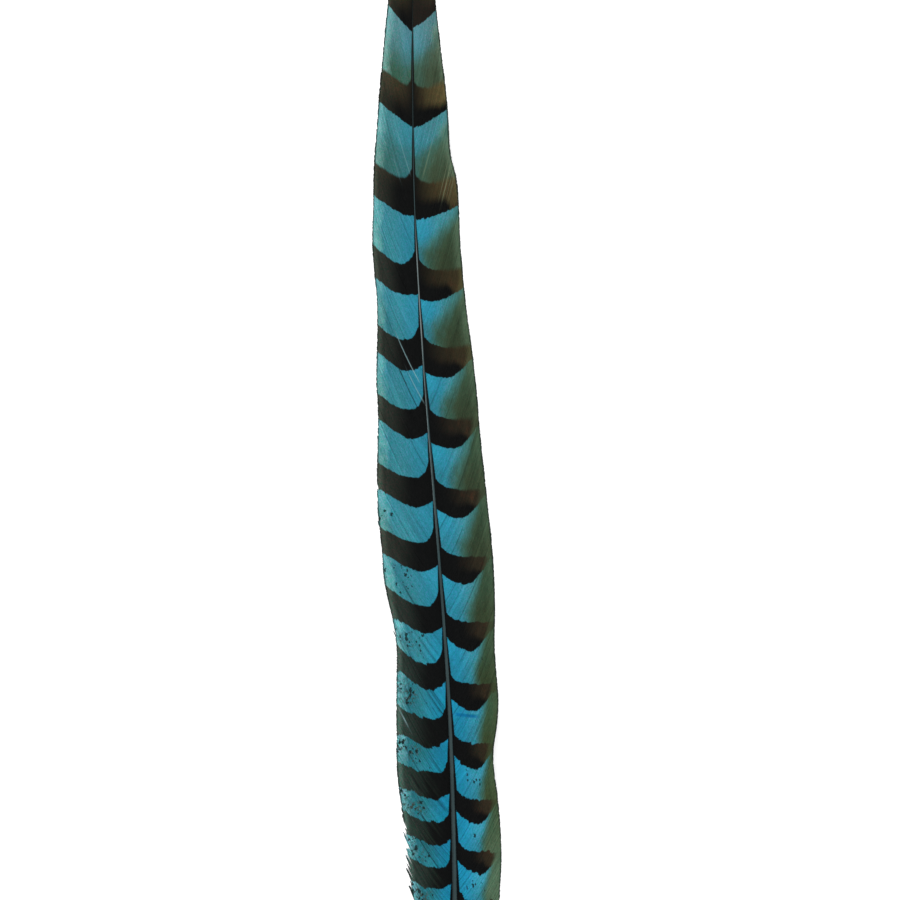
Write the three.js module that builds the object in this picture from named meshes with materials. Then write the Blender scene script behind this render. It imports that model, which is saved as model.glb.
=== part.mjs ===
// A barred pheasant tail feather, lying on a flat surface with its glossy side up.
//
// It has a shaft, which is a round quill at the foot and a slim rachis with a grooved under side
// above, and a vane on each side of it. A vane is built of locks of barbs that leave the shaft at a
// slant and bend towards the tip. Its lowest locks are loose down, thicker and more ragged.
//
// Millimetres, +Z up, +Y from the quill to the tip. The origin is under the middle of the feather's
// box. Places along the feather are measured from the end of the quill.
import * as THREE from "three";

// Driving dimensions.
const FEATHER_LENGTH = 550;
const QUILL_LENGTH = 42; // the bare foot of the shaft
const DOWN_LENGTH = 33; // the stretch of the shaft that down grows on
const SHAFT_LENGTH = 538; // the rachis ends among the last barbs
const DOWN_LOCKS = 6;
const FIRM_LOCKS = 34;
const LOCK_BORDER = 0.35; // how thick a vane is between two locks
const LOCK_CROWN = 0.75; // how thick it is in the middle of a lock
const LOCK_NOTCH = 0.03; // the share of its reach that the edge loses between two locks
const DOWN_CROWN = 1.9;
const DOWN_NOTCH = 0.3;
const ROOT_GAP = 0.12; // between the shaft's side and a vane's roots
const FLAT_FROM = 0.8; // the share of a vane's width from which its margin lies flat

const VANE_START = QUILL_LENGTH + DOWN_LENGTH;
const LOCKS = DOWN_LOCKS + FIRM_LOCKS;

// A smooth curve through [place, value] pairs, read as a function of the place.
function curveThrough(pairs) {
  const last = pairs.length - 1;
  const slopes = pairs.map((pair, i) => {
    const before = pairs[Math.max(i - 1, 0)];
    const after = pairs[Math.min(i + 1, last)];
    return (after[1] - before[1]) / (after[0] - before[0]);
  });
  return (place) => {
    const at = THREE.MathUtils.clamp(place, pairs[0][0], pairs[last][0]);
    let i = 0;
    while (i < last - 1 && pairs[i + 1][0] < at) i += 1;
    const span = pairs[i + 1][0] - pairs[i][0];
    const s = (at - pairs[i][0]) / span;
    const rise = pairs[i + 1][1] - pairs[i][1];
    return (
      pairs[i][1] +
      rise * s * s * (3 - 2 * s) +
      span * slopes[i] * s * (1 - s) * (1 - s) -
      span * slopes[i + 1] * s * s * (1 - s)
    );
  };
}

// The shaft's line seen from above, and its half width and half depth.
const shaftSideways = curveThrough([
  [0, 4.9], [80, 6.1], [166, 5.7], [202, 5.0], [238, 3.6], [274, 1.2], [310, -1.6],
  [346, -4.5], [382, -7.0], [418, -8.8], [454, -9.4], [490, -9.4], [550, -8.2],
]);
const shaftHalfWidth = curveThrough([
  [0, 1.0], [8, 1.55], [22, 1.85], [45, 1.85], [75, 1.6], [166, 1.0], [252, 0.72],
  [310, 0.55], [368, 0.4], [425, 0.3], [500, 0.18], [538, 0.12],
]);
const shaftHalfDepth = curveThrough([
  [0, 1.0], [8, 1.55], [22, 1.85], [45, 1.85], [75, 1.65], [166, 1.15], [252, 0.85],
  [310, 0.66], [368, 0.5], [425, 0.36], [500, 0.22], [538, 0.14],
]);
// The shaft lies on its quill and arches up off the surface between the quill and the tip.
const shaftRise = curveThrough([
  [0, 0.5], [15, 0], [35, 0], [75, 0.85], [110, 2.0], [166, 3.45], [230, 4.55],
  [300, 5.1], [370, 4.8], [430, 3.85], [480, 2.65], [520, 1.4], [550, 0.5],
]);
const shaftHeight = (place) => shaftHalfDepth(place) + Math.max(0, shaftRise(place));
// How far the under side's groove has opened, from none on the round quill to full on the rachis.
const grooveShare = (place) => THREE.MathUtils.smoothstep(place, QUILL_LENGTH, 90);

// How far from the shaft's middle each vane's edge lies.
const vaneHalfWidth = {
  left: curveThrough([
    [42, 4.5], [50, 8.2], [62, 11.0], [75, 11.8], [90, 12.3], [110, 13.2], [140, 14.4],
    [166, 15.7], [184, 18.0], [202, 19.4], [220, 19.9], [238, 19.1], [256, 18.1], [274, 19.9],
    [292, 20.3], [310, 20.7], [328, 19.2], [346, 17.4], [364, 16.3], [382, 15.6], [400, 16.1],
    [418, 14.9], [454, 12.5], [490, 9.0], [520, 6.0], [538, 3.4], [547, 1.5], [550, 0.45],
  ]),
  right: curveThrough([
    [42, 4.5], [50, 8.0], [62, 10.8], [75, 11.8], [90, 12.5], [110, 13.6], [140, 15.0],
    [166, 15.9], [184, 16.9], [202, 16.3], [220, 14.7], [238, 17.3], [256, 17.3], [274, 18.6],
    [292, 19.3], [310, 18.9], [328, 18.2], [346, 18.2], [364, 17.9], [382, 16.4], [400, 15.6],
    [418, 15.7], [427, 14.8], [436, 12.8], [454, 12.0], [490, 7.9], [520, 5.4], [538, 3.1],
    [547, 1.4], [550, 0.45],
  ]),
};
// Where each margin curls clear of the surface: [middle of the curl, half its length, its height].
const MARGIN_CURLS = {
  left: [[130, 52, 1.8], [256, 16, 1.6]],
  right: [[110, 48, 1.4], [220, 20, 2.4], [435, 13, 0.9]],
};
// How much further along the feather a barb ends than it starts, by the place of its root.
const barbClimb = curveThrough([
  [42, 6], [75, 15], [110, 20], [166, 26], [250, 36], [330, 41], [400, 43], [450, 44],
  [480, 39], [505, 31], [525, 20.5], [538, 12],
]);
const BARB_BEND = 0.34; // the share of the climb that comes from bending towards the tip

// A barb's climb by the share of its reach: more and more towards the tip.
const climbShare = (reach) => (1 - BARB_BEND) * reach + BARB_BEND * reach * reach;

function marginLift(side, place) {
  return MARGIN_CURLS[side].reduce((lift, [middle, halfLength, height]) => {
    const off = Math.min(Math.abs(place - middle) / halfLength, 1);
    return lift + height * (0.5 + 0.5 * Math.cos(Math.PI * off));
  }, 0);
}

// The height of a vane's under side, from its root in the shaft's flank down to its flat margin.
function underside(side, place, out) {
  const root = shaftHeight(place) + 0.1 * shaftHalfDepth(place);
  const share = THREE.MathUtils.clamp(out / vaneHalfWidth[side](place), 0, 1);
  const droop = 1 - Math.pow(Math.min(share / FLAT_FROM, 1), 1.7);
  return root * droop + marginLift(side, place) * share * share;
}

// Where the lock counted from the quill has its root. Half a lock is a lock's middle.
function rootPlace(lock) {
  if (lock < DOWN_LOCKS) return QUILL_LENGTH + (DOWN_LENGTH * lock) / DOWN_LOCKS;
  return VANE_START + ((SHAFT_LENGTH - VANE_START) * (lock - DOWN_LOCKS)) / FIRM_LOCKS;
}

// One vane is a flat box warped to shape: u runs out along the barbs and v up from lock to lock.
function vaneGeometry(side) {
  const cellsOut = 7;
  const cellsPerLock = 3;
  const box = new THREE.BoxGeometry(1, 1, 1, cellsOut, LOCKS * cellsPerLock, 1);
  const points = box.getAttribute("position");
  const sign = side === "left" ? -1 : 1;
  for (let i = 0; i < points.count; i += 1) {
    const u = side === "left" ? 0.5 - points.getX(i) : 0.5 + points.getX(i);
    const lock = (points.getY(i) + 0.5) * LOCKS;
    const onTop = points.getZ(i) > 0;
    const isDown = lock < DOWN_LOCKS + 0.01;
    const fullness = Math.abs(Math.sin(Math.PI * lock)); // 0 between locks, 1 in a lock's middle
    const root = rootPlace(lock);
    const start = shaftHalfWidth(root) + ROOT_GAP;
    const notch = (isDown ? DOWN_NOTCH : LOCK_NOTCH) * (1 - fullness);
    const reach = vaneHalfWidth[side](root + barbClimb(root)) * (1 - notch);
    const out = start + Math.max(reach - start, 0.2) * u;
    const place = root + barbClimb(root) * climbShare(u);
    const crown = (isDown ? DOWN_CROWN : LOCK_CROWN) - LOCK_BORDER;
    const thickness = LOCK_BORDER + crown * fullness * Math.sin(Math.PI * (0.12 + 0.7 * u));
    const height = underside(side, place, out) + (onTop ? thickness : 0);
    points.setXYZ(i, shaftSideways(place) + sign * out, place, height);
  }
  box.deleteAttribute("normal");
  box.deleteAttribute("uv");
  return box;
}

// The shaft's outline across, as shares of its half width and half depth, down its right side from
// the top. The last point is the middle of the under side, which the groove lifts.
const FLANK = [[0, 1], [0.5, 0.866], [0.866, 0.5], [1, 0], [0.866, -0.5], [0.5, -0.866], [0, -1]];
const GROOVE_DEPTH = 0.45;

// The shaft: rings from the quill's end to the rachis's tip, with a pit in the quill's end.
function shaftGeometry() {
  const outline = [...FLANK, ...FLANK.slice(1, -1).reverse().map(([x, z]) => [-x, z])];
  const sides = outline.length;
  const positions = [];
  const addRing = (place, scale = 1, shift = 0) => {
    outline.forEach(([across, up], k) => {
      const lift = k === FLANK.length - 1 ? GROOVE_DEPTH * grooveShare(place) : 0;
      positions.push(
        shaftSideways(place) + across * shaftHalfWidth(place) * scale,
        place + shift,
        shaftHeight(place) + (up + lift) * shaftHalfDepth(place) * scale,
      );
    });
  };
  const pitDepth = 3;
  addRing(0, 0.35, pitDepth);
  addRing(0, 0.55);
  addRing(0, 0.85);
  addRing(0.8);
  [4, 8, 14, 22, 33, 45, 60].forEach((place) => addRing(place));
  const ringsAbove = 37;
  for (let i = 0; i <= ringsAbove; i += 1) {
    addRing(VANE_START + ((SHAFT_LENGTH - VANE_START) * i) / ringsAbove);
  }
  const faces = [];
  const lastRing = positions.length / 3 - sides;
  for (let ring = 0; ring < lastRing; ring += sides) {
    for (let k = 0; k < sides; k += 1) {
      const a = ring + k;
      const b = ring + ((k + 1) % sides);
      faces.push(a, b, b + sides, a, b + sides, a + sides);
    }
  }
  for (let k = 1; k < sides - 1; k += 1) {
    faces.push(0, k + 1, k);
    faces.push(lastRing, lastRing + k, lastRing + k + 1);
  }
  const geometry = new THREE.BufferGeometry();
  geometry.setAttribute("position", new THREE.Float32BufferAttribute(positions, 3));
  geometry.setIndex(faces);
  return geometry;
}

const horn = new THREE.MeshStandardMaterial({ color: 0x454c4e, roughness: 0.35 });
const tealBarbs = new THREE.MeshStandardMaterial({ color: 0x2d7486, roughness: 0.55 });
const oliveBarbs = new THREE.MeshStandardMaterial({ color: 0x3f6659, roughness: 0.55 });

function named(name, geometry, material) {
  const mesh = new THREE.Mesh(geometry, material);
  mesh.name = name;
  return mesh;
}

const feather = new THREE.Group();
feather.add(named("shaft", shaftGeometry(), horn));
feather.add(named("left_vane", vaneGeometry("left"), tealBarbs));
feather.add(named("right_vane", vaneGeometry("right"), oliveBarbs));

const box = new THREE.Box3().setFromObject(feather);
const middle = box.getCenter(new THREE.Vector3());
feather.position.set(-middle.x, -middle.y, -box.min.z);
feather.updateMatrixWorld(true);

export default feather;
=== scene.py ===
import math
from types import SimpleNamespace

import bpy
import numpy as np
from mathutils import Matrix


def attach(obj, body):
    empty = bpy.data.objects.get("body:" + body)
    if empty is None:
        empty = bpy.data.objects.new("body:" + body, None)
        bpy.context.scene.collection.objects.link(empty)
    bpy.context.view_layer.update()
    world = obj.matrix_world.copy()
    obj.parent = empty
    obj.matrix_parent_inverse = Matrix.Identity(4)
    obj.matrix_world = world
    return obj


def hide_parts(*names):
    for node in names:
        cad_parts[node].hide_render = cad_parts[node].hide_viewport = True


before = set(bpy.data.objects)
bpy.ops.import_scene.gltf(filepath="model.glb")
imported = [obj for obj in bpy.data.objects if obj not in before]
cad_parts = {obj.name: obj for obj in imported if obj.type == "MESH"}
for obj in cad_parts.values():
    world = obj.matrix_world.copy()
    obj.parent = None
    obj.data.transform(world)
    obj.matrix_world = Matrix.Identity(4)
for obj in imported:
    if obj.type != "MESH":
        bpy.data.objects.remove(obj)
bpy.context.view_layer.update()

# ------------------------------------------------------------------ the camera over the feather
# The feather lies on a white table, and the camera looks straight down on its middle stretch. The
# tip and the quill run out past the top and the bottom of the picture.
FOOT_Y = -275.0
SEEN_MIDDLE_PLACE = 328.0
SEEN_MIDDLE_X = 4.9
SEEN_LENGTH = 324.0
UPPER_SIDE_HEIGHT = 3.5
lens_data = bpy.data.cameras.new("camera")
lens_data.lens = 100
lens_data.sensor_width = 36
camera_height = SEEN_LENGTH * lens_data.lens / lens_data.sensor_width
camera = bpy.data.objects.new("camera", lens_data)
bpy.context.scene.collection.objects.link(camera)
camera.location = (
    SEEN_MIDDLE_X / 1000,
    (FOOT_Y + SEEN_MIDDLE_PLACE) / 1000,
    (camera_height + UPPER_SIDE_HEIGHT) / 1000,
)
bpy.context.scene.camera = camera

# ------------------------------------------------------------------ the table and the light
# A plain white table top, faintly lit from below, between two broad soft lamps, left and right, so
# that the barbs' fine relief shows, the bars stay deep and almost no shadow is left.
TABLE_SIZE = 20
TABLE_TOP = -0.00005  # a hair below the feather's margins
bpy.ops.object.select_all(action="DESELECT")
bpy.ops.mesh.primitive_plane_add(size=TABLE_SIZE, location=(0, 0, TABLE_TOP))
table = bpy.context.object
table.name = "table_top"
table_finish = bpy.data.materials.new("white_table")
table_finish.use_nodes = True
table_shader = table_finish.node_tree.nodes["Principled BSDF"]
table_shader.inputs["Base Color"].default_value = (0.93, 0.93, 0.93, 1)
table_shader.inputs["Roughness"].default_value = 0.9
table_shader.inputs["Specular IOR Level"].default_value = 0.1
table_shader.inputs["Emission Color"].default_value = (1, 1, 1, 1)
table_shader.inputs["Emission Strength"].default_value = 0.3
table.data.materials.append(table_finish)

room = bpy.data.worlds.new("soft_room")
room.use_nodes = True
room.node_tree.nodes["Background"].inputs["Color"].default_value = (1, 1, 1, 1)
room.node_tree.nodes["Background"].inputs["Strength"].default_value = 0.4
bpy.context.scene.world = room

LAMP_REACH = 1.15  # to either side of the feather, in metres
LAMP_HEIGHT = 1.1
LAMP_TILT = math.radians(46)
for lamp_name, sideways, power in (("left_lamp", -1, 28), ("right_lamp", 1, 21)):
    lamp_data = bpy.data.lights.new(lamp_name, "AREA")
    lamp_data.shape = "RECTANGLE"
    lamp_data.size = 0.9
    lamp_data.size_y = 2.2
    lamp_data.energy = power
    lamp = bpy.data.objects.new(lamp_name, lamp_data)
    lamp.location = (sideways * LAMP_REACH, 0.1, LAMP_HEIGHT)
    lamp.rotation_euler = (0, sideways * LAMP_TILT, 0)
    bpy.context.scene.collection.objects.link(lamp)
bpy.context.scene.view_settings.view_transform = "Standard"
bpy.context.scene.view_settings.look = "None"

# ------------------------------------------------------------------ the shaft
# The shaft is one length of horn: a round hollow quill at the foot, drawn out above into the slim
# rachis that the barbs grow from. The rachis is flattened on its sides and grooved underneath.
# Millimetres. A place is measured from the quill's end towards the tip.
FEATHER_LENGTH = 550.0
QUILL_LENGTH = 42.0
SIDE_SHIFT = 0.906  # from the quill's own middle line to the middle of the feather's box


def curve_through(*pairs):
    """A smooth curve through (place, value) pairs, read as a function of one place or many."""
    places = np.array([pair[0] for pair in pairs], dtype=float)
    values = np.array([pair[1] for pair in pairs], dtype=float)
    before = np.r_[0, np.arange(len(places) - 1)]
    after = np.r_[np.arange(1, len(places)), len(places) - 1]
    slopes = (values[after] - values[before]) / (places[after] - places[before])

    def read(place):
        at = np.clip(place, places[0], places[-1])
        i = np.clip(np.searchsorted(places, at) - 1, 0, len(places) - 2)
        span = places[i + 1] - places[i]
        s = (at - places[i]) / span
        rise = values[i + 1] - values[i]
        turn = span * s * (1 - s) * (slopes[i] * (1 - s) - slopes[i + 1] * s)
        return values[i] + rise * s * s * (3 - 2 * s) + turn

    return read


shaft_sideways = curve_through(
    (0, 4.9), (80, 6.1), (166, 5.7), (202, 5.0), (238, 3.6), (274, 1.2), (310, -1.6),
    (346, -4.5), (382, -7.0), (418, -8.8), (454, -9.4), (490, -9.4), (550, -8.2),
)
shaft_half_width = curve_through(
    (0, 1.0), (8, 1.55), (22, 1.85), (45, 1.85), (75, 1.6), (166, 1.0), (252, 0.72),
    (310, 0.55), (368, 0.4), (425, 0.3), (500, 0.18), (538, 0.12),
)
shaft_half_depth = curve_through(
    (0, 1.0), (8, 1.55), (22, 1.85), (45, 1.85), (75, 1.65), (166, 1.15), (252, 0.85),
    (310, 0.66), (368, 0.5), (425, 0.36), (500, 0.22), (538, 0.14),
)
shaft_rise = curve_through(
    (0, 0.5), (15, 0), (35, 0), (75, 0.85), (110, 2.0), (166, 3.45), (230, 4.55),
    (300, 5.1), (370, 4.8), (430, 3.85), (480, 2.65), (520, 1.4), (550, 0.5),
)


def shaft_height(place):
    return shaft_half_depth(place) + np.maximum(0, shaft_rise(place))


def in_frame(across, place, height):
    """A point of the feather, in metres, in the frame that the feather's box is centred on."""
    return (float(across + SIDE_SHIFT) / 1000, float(place + FOOT_Y) / 1000, float(height) / 1000)


def shaft_middle(place):
    return in_frame(shaft_sideways(place), place, shaft_height(place))


PIT_DEPTH = 3.0
PIT_SHARE = 0.35  # the pit's width as a share of the quill's
bpy.ops.object.select_all(action="DESELECT")
bpy.ops.mesh.primitive_circle_add(
    vertices=20,
    radius=PIT_SHARE * float(shaft_half_width(0)) / 1000,
    fill_type="NGON",
    location=in_frame(shaft_sideways(0), PIT_DEPTH, shaft_height(0)),
    rotation=(math.pi / 2, 0, 0),
)
shaft = bpy.context.object
shaft.name = "horn_shaft"
bpy.ops.object.transform_apply(location=True, rotation=True, scale=True)
bpy.ops.object.mode_set(mode="EDIT")
bpy.ops.mesh.select_mode(type="VERT")
bpy.ops.mesh.select_all(action="SELECT")

# The ring is drawn back out of the quill's pit, over its rim, and then up the whole shaft.
stations = [(0.0, 0.55), (0.0, 0.8), (0.3, 0.93), (1.0, 1.0)]
stations += [(float(place), 1.0) for place in (3, 5, 8, 12, 17, 23, 30, 38, 46, 54, 62, 70)]
stations += [(float(place), 1.0) for place in np.linspace(78, 538, 58)]
here = np.array(in_frame(shaft_sideways(0), PIT_DEPTH, shaft_height(0)))
width_now = PIT_SHARE * float(shaft_half_width(0))
depth_now = width_now
for place, share in stations:
    there = np.array(shaft_middle(place))
    bpy.ops.mesh.extrude_region_move(TRANSFORM_OT_translate={"value": tuple(there - here)})
    width_next = share * float(shaft_half_width(place))
    depth_next = share * float(shaft_half_depth(place))
    bpy.ops.transform.resize(
        value=(width_next / width_now, 1, depth_next / depth_now),
        center_override=tuple(there),
    )
    here, width_now, depth_now = there, width_next, depth_next
bpy.ops.object.mode_set(mode="OBJECT")

# The groove: the middle of the under side is pressed up, from nothing on the quill to full depth.
GROOVE_DEPTH = 0.42  # as a share of the half depth
GROOVE_HALF_WIDTH = 0.62  # as a share of the half width
GROOVE_RUN = 48  # the stretch over which it deepens
points = np.empty(len(shaft.data.vertices) * 3)
shaft.data.vertices.foreach_get("co", points)
points = points.reshape(-1, 3)
point_places = points[:, 1] * 1000 - FOOT_Y
across = points[:, 0] * 1000 - SIDE_SHIFT - shaft_sideways(point_places)
across = across / shaft_half_width(point_places)
below = points[:, 2] * 1000 < shaft_height(point_places)
groove_share = np.clip((point_places - QUILL_LENGTH) / GROOVE_RUN, 0, 1) ** 2
groove_share *= np.clip(1 - (np.abs(across) / GROOVE_HALF_WIDTH) ** 2, 0, 1) * below
points[:, 2] += GROOVE_DEPTH * groove_share * shaft_half_depth(point_places) / 1000
shaft.data.vertices.foreach_set("co", points.ravel())
shaft.data.update()

bpy.ops.object.mode_set(mode="EDIT")
bpy.ops.mesh.select_all(action="SELECT")
bpy.ops.mesh.normals_make_consistent(inside=False)
bpy.ops.object.mode_set(mode="OBJECT")
bpy.ops.object.shade_smooth()
smoothing = shaft.modifiers.new("smoothing", "SUBSURF")
smoothing.levels = 1
smoothing.render_levels = 1
bpy.ops.object.modifier_apply(modifier="smoothing")

LIGHT_STRENGTH = 1.25
SHEEN = 0.006  # what the gloss adds to every colour
DARKEST = 0.0003


def dyed(red, green, blue):
    """A shader's colour for a surface that looks like this, 0 to 255, in the lamps' bright light."""
    linear = [((c / 255 + 0.055) / 1.055) ** 2.4 - SHEEN for c in (red, green, blue)]
    return tuple(max(c, DARKEST) / LIGHT_STRENGTH for c in linear) + (1,)


class Finish:
    """A material under construction: each step adds a node or two and hands back the result."""

    def __init__(self, name):
        self.material = bpy.data.materials.new(name)
        self.material.use_nodes = True
        self.nodes = self.material.node_tree.nodes
        self.links = self.material.node_tree.links
        self.shader = self.nodes["Principled BSDF"]

    def put(self, socket, value):
        if isinstance(value, bpy.types.NodeSocket):
            self.links.new(value, socket)
        else:
            socket.default_value = value

    def add(self, kind, inputs, **options):
        """Adds one node with these options and inputs, and hands back its outputs."""
        node = self.nodes.new("ShaderNode" + kind)
        for option, value in options.items():
            setattr(node, option, value)
        for socket, value in inputs.items():
            self.put(node.inputs[socket], value)
        return node.outputs

    def sum(self, operation, *values):
        return self.add("Math", dict(enumerate(values)), operation=operation)[0]

    def times(self, first, *others):
        for other in others:
            first = self.sum("MULTIPLY", first, other)
        return first

    def swing(self, noise, size, base):
        """A noise between 0 and 1, turned into a swing of this size about a base."""
        return self.sum("MULTIPLY_ADD", self.sum("SUBTRACT", noise, 0.5), size, base)

    def fade(self, value, low, high, to_low=0.0, to_high=1.0):
        inputs = {"Value": value, "From Min": low, "From Max": high, "To Min": to_low, "To Max": to_high}
        return self.add("MapRange", inputs, interpolation_type="SMOOTHSTEP")["Result"]

    def mix(self, share, first, second, way="MIX"):
        inputs = {"Factor": share, 6: first, 7: second}
        return self.add("Mix", inputs, data_type="RGBA", blend_type=way)[2]

    def ramp(self, value, *stops):
        """A colour that runs smoothly through (position, colour) stops, from the lowest on."""
        node = self.nodes.new("ShaderNodeValToRGB")
        node.color_ramp.interpolation = "EASE"
        elements = node.color_ramp.elements
        for position, colour in stops[1:-1]:
            elements.new(position).color = colour
        elements[0].position, elements[0].color = stops[0]
        elements[-1].position, elements[-1].color = stops[-1]
        self.put(node.inputs[0], value)
        return node.outputs["Color"]

    def stretched(self, where, stretch):
        return self.add("Mapping", {"Vector": where, "Scale": stretch})["Vector"]

    def noise(self, where, scale, detail=2.0, roughness=0.5, stretch=(1, 1, 1)):
        where = self.stretched(where, stretch)
        inputs = {"Vector": where, "Scale": scale, "Detail": detail, "Roughness": roughness}
        return self.add("TexNoise", inputs)["Fac"]

    def dots(self, where, scale, stretch, share, size):
        """Round specks in a share of the cells of a random mesh, each of its own size."""
        inputs = {"Vector": self.stretched(where, stretch), "Scale": scale}
        mesh = self.add("TexVoronoi", inputs, voronoi_dimensions="2D")
        draw = self.add("SeparateColor", {0: mesh["Color"]})
        chosen = self.sum("LESS_THAN", draw[0], share)
        radius = self.sum("MULTIPLY_ADD", draw[1], 0.8 * size, 0.35 * size)
        speck = self.fade(self.sum("SUBTRACT", radius, mesh["Distance"]), -0.06, 0.06)
        return self.times(chosen, speck)

    def read(self, name):
        return self.add("Attribute", {}, attribute_name=name)["Fac"]

    def map_place(self, name):
        return self.add("UVMap", {}, uv_map=name)["UV"]

    def numbers(self, value):
        return self.add("SeparateXYZ", {0: value})

    def normal(self):
        """How far the surface faces right, towards the tip and up, as three numbers."""
        return self.numbers(self.add("NewGeometry", {})["Normal"])

    def cover(self, piece, colour, roughness, gloss):
        """Gives the shader its colour, roughness and gloss, and lays the finish on its piece."""
        self.put(self.shader.inputs["Base Color"], colour)
        self.put(self.shader.inputs["Roughness"], roughness)
        self.shader.inputs["Specular IOR Level"].default_value = gloss
        piece.data.materials.clear()
        piece.data.materials.append(self.material)

    def relief(self, height, strength):
        inputs = {"Height": height, "Strength": strength, "Distance": 0.0001}
        self.put(self.shader.inputs["Normal"], self.add("Bump", inputs)["Normal"])


# Horn: blue-grey where the dye took, darker in the thin rachis, lighter on top with painted shade down its
# flanks and a painted highlight on the left flank higher up, paler and yellower in the quill, with fine
# streaks along its length.
horn = Finish("grey_horn")
spot = horn.add("TexCoord", {})["Object"]
along = horn.numbers(spot)[1]
leaning = horn.normal()[0]
facing = horn.normal()[2]
streaks = horn.noise(spot, 900, 3.0, 0.6, (3, 0.05, 3))
blotches = horn.noise(spot, 60, 2.0, 0.5, (1, 0.4, 1))
ticks = horn.noise(spot, 1500, 1.0, 0.5, (0.5, 1, 0.5))
up_the_shaft = horn.sum("MULTIPLY_ADD", along, 1000 / FEATHER_LENGTH, 0.5)
top_grey = horn.ramp(
    up_the_shaft,
    (0.04, dyed(150, 160, 146)),
    (0.11, dyed(108, 128, 128)),
    (0.17, dyed(56, 68, 70)),
    (0.25, dyed(52, 70, 72)),
    (0.65, dyed(52, 70, 72)),
    (0.675, dyed(120, 130, 130)),
    (0.715, dyed(120, 130, 130)),
    (0.75, dyed(52, 70, 72)),
    (0.95, dyed(48, 56, 54)),
)
# Painted shade: the flanks, which face sideways, are darker than the top, but the quill's flanks keep its
# paler colour.
flank = horn.mix(horn.fade(along, -0.19, -0.24), dyed(28, 42, 44), dyed(104, 122, 118))
horn_colour = horn.mix(horn.fade(facing, 0.45, 0.9), flank, top_grey)
# Painted shade darkens one flank more: the left one in the lower feather, the right one in the upper.
left_dark = horn.times(horn.fade(leaning, 0.0, -0.5), horn.fade(along, 0.02, -0.06))
right_dark = horn.times(horn.fade(leaning, 0.1, 0.5), horn.fade(along, 0.02, 0.08))
painted_flank_shade = horn.times(horn.sum("ADD", left_dark, right_dark), horn.fade(along, -0.2, -0.17), 0.6)
horn_colour = horn.mix(painted_flank_shade, horn_colour, dyed(20, 28, 30))
# A painted highlight lightens the left flank of the shaft's upper middle stretch.
painted_left_highlight = horn.times(horn.fade(leaning, -0.1, -0.6), horn.fade(along, 0.01, 0.08))
painted_left_highlight = horn.times(painted_left_highlight, horn.fade(along, 0.14, 0.11))
horn_colour = horn.mix(painted_left_highlight, horn_colour, dyed(124, 138, 140))
horn_colour = horn.mix(horn.fade(streaks, 0.35, 0.7, 0.0, 0.35), horn_colour, dyed(26, 34, 36))
horn_colour = horn.mix(horn.fade(blotches, 0.45, 0.75, 0.0, 0.1), horn_colour, dyed(110, 124, 124))
tick_share = horn.times(horn.fade(ticks, 0.5, 0.62, 0.0, 0.6), horn.fade(facing, 0.95, 0.6))
tick_share = horn.times(tick_share, horn.fade(along, -0.19, -0.17))
horn_colour = horn.mix(tick_share, horn_colour, dyed(20, 26, 28))
horn.relief(streaks, 0.25)
horn.cover(shaft, horn_colour, horn.fade(streaks, 0.3, 0.7, 0.38, 0.52), 0.1)
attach(shaft, "root")
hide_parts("shaft")

# ------------------------------------------------------------------ the left vane
# The inner, wider web of the tail feather: some nine hundred barbs of keratin, each rooted in the
# shaft's flank and hooked to its neighbours, that bend towards the tip. A few have come unhooked.

# How much further along the feather a barb ends than it starts, by the place of its root.
barb_climb = curve_through(
    (42, 6), (75, 15), (110, 20), (166, 26), (250, 36), (330, 41), (400, 43), (450, 44),
    (480, 39), (505, 31), (525, 20.5), (538, 12),
)
BARB_BEND = 0.34  # the share of the climb that comes from bending towards the tip
ROOT_SHARE = 0.85  # where in the shaft's half width a barb is rooted
FLAT_FROM = 0.8  # the share of a vane's width from which its margin lies flat
FIRST_BARB = 74.0
LAST_BARB = 538.0
BARB_SPACING = 0.5
BARB_STEPS = np.array(
    [0, 0.015, 0.035, 0.06, 0.09, 0.13, 0.18, 0.24, 0.31, 0.38, 0.46, 0.54, 0.62, 0.7, 0.78, 0.86,
     0.93, 0.98, 1]
)
# The dark bars, counted from the tip: how far from the quill's end the lowest point of each bar's
# lower edge is, on the left vane.
BAR_PLACES = np.array(
    [521.0, 478.8, 444.3, 412.2, 383.7, 356.3, 331.9, 307.3, 284.2, 261.8, 241.8, 220.7, 202.3,
     185.8, 169.6, 154.5, 140.5, 127.5, 115.5, 104.5, 94.5, 85.5, 77.0]
)
EARLY_CLIMB = 0.75  # how much of its rise to the margin a lower edge takes before it flattens


def smooth_step(low, high, value):
    s = np.clip((value - low) / (high - low), 0, 1)
    return s * s * (3 - 2 * s)


def left_corner(corner, lowest):
    """How a bar's upper edge rounds up to the shaft, higher in the lower feather."""
    return corner**2.2 + 0.4 * smooth_step(345, 300, lowest) * corner**6


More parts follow.
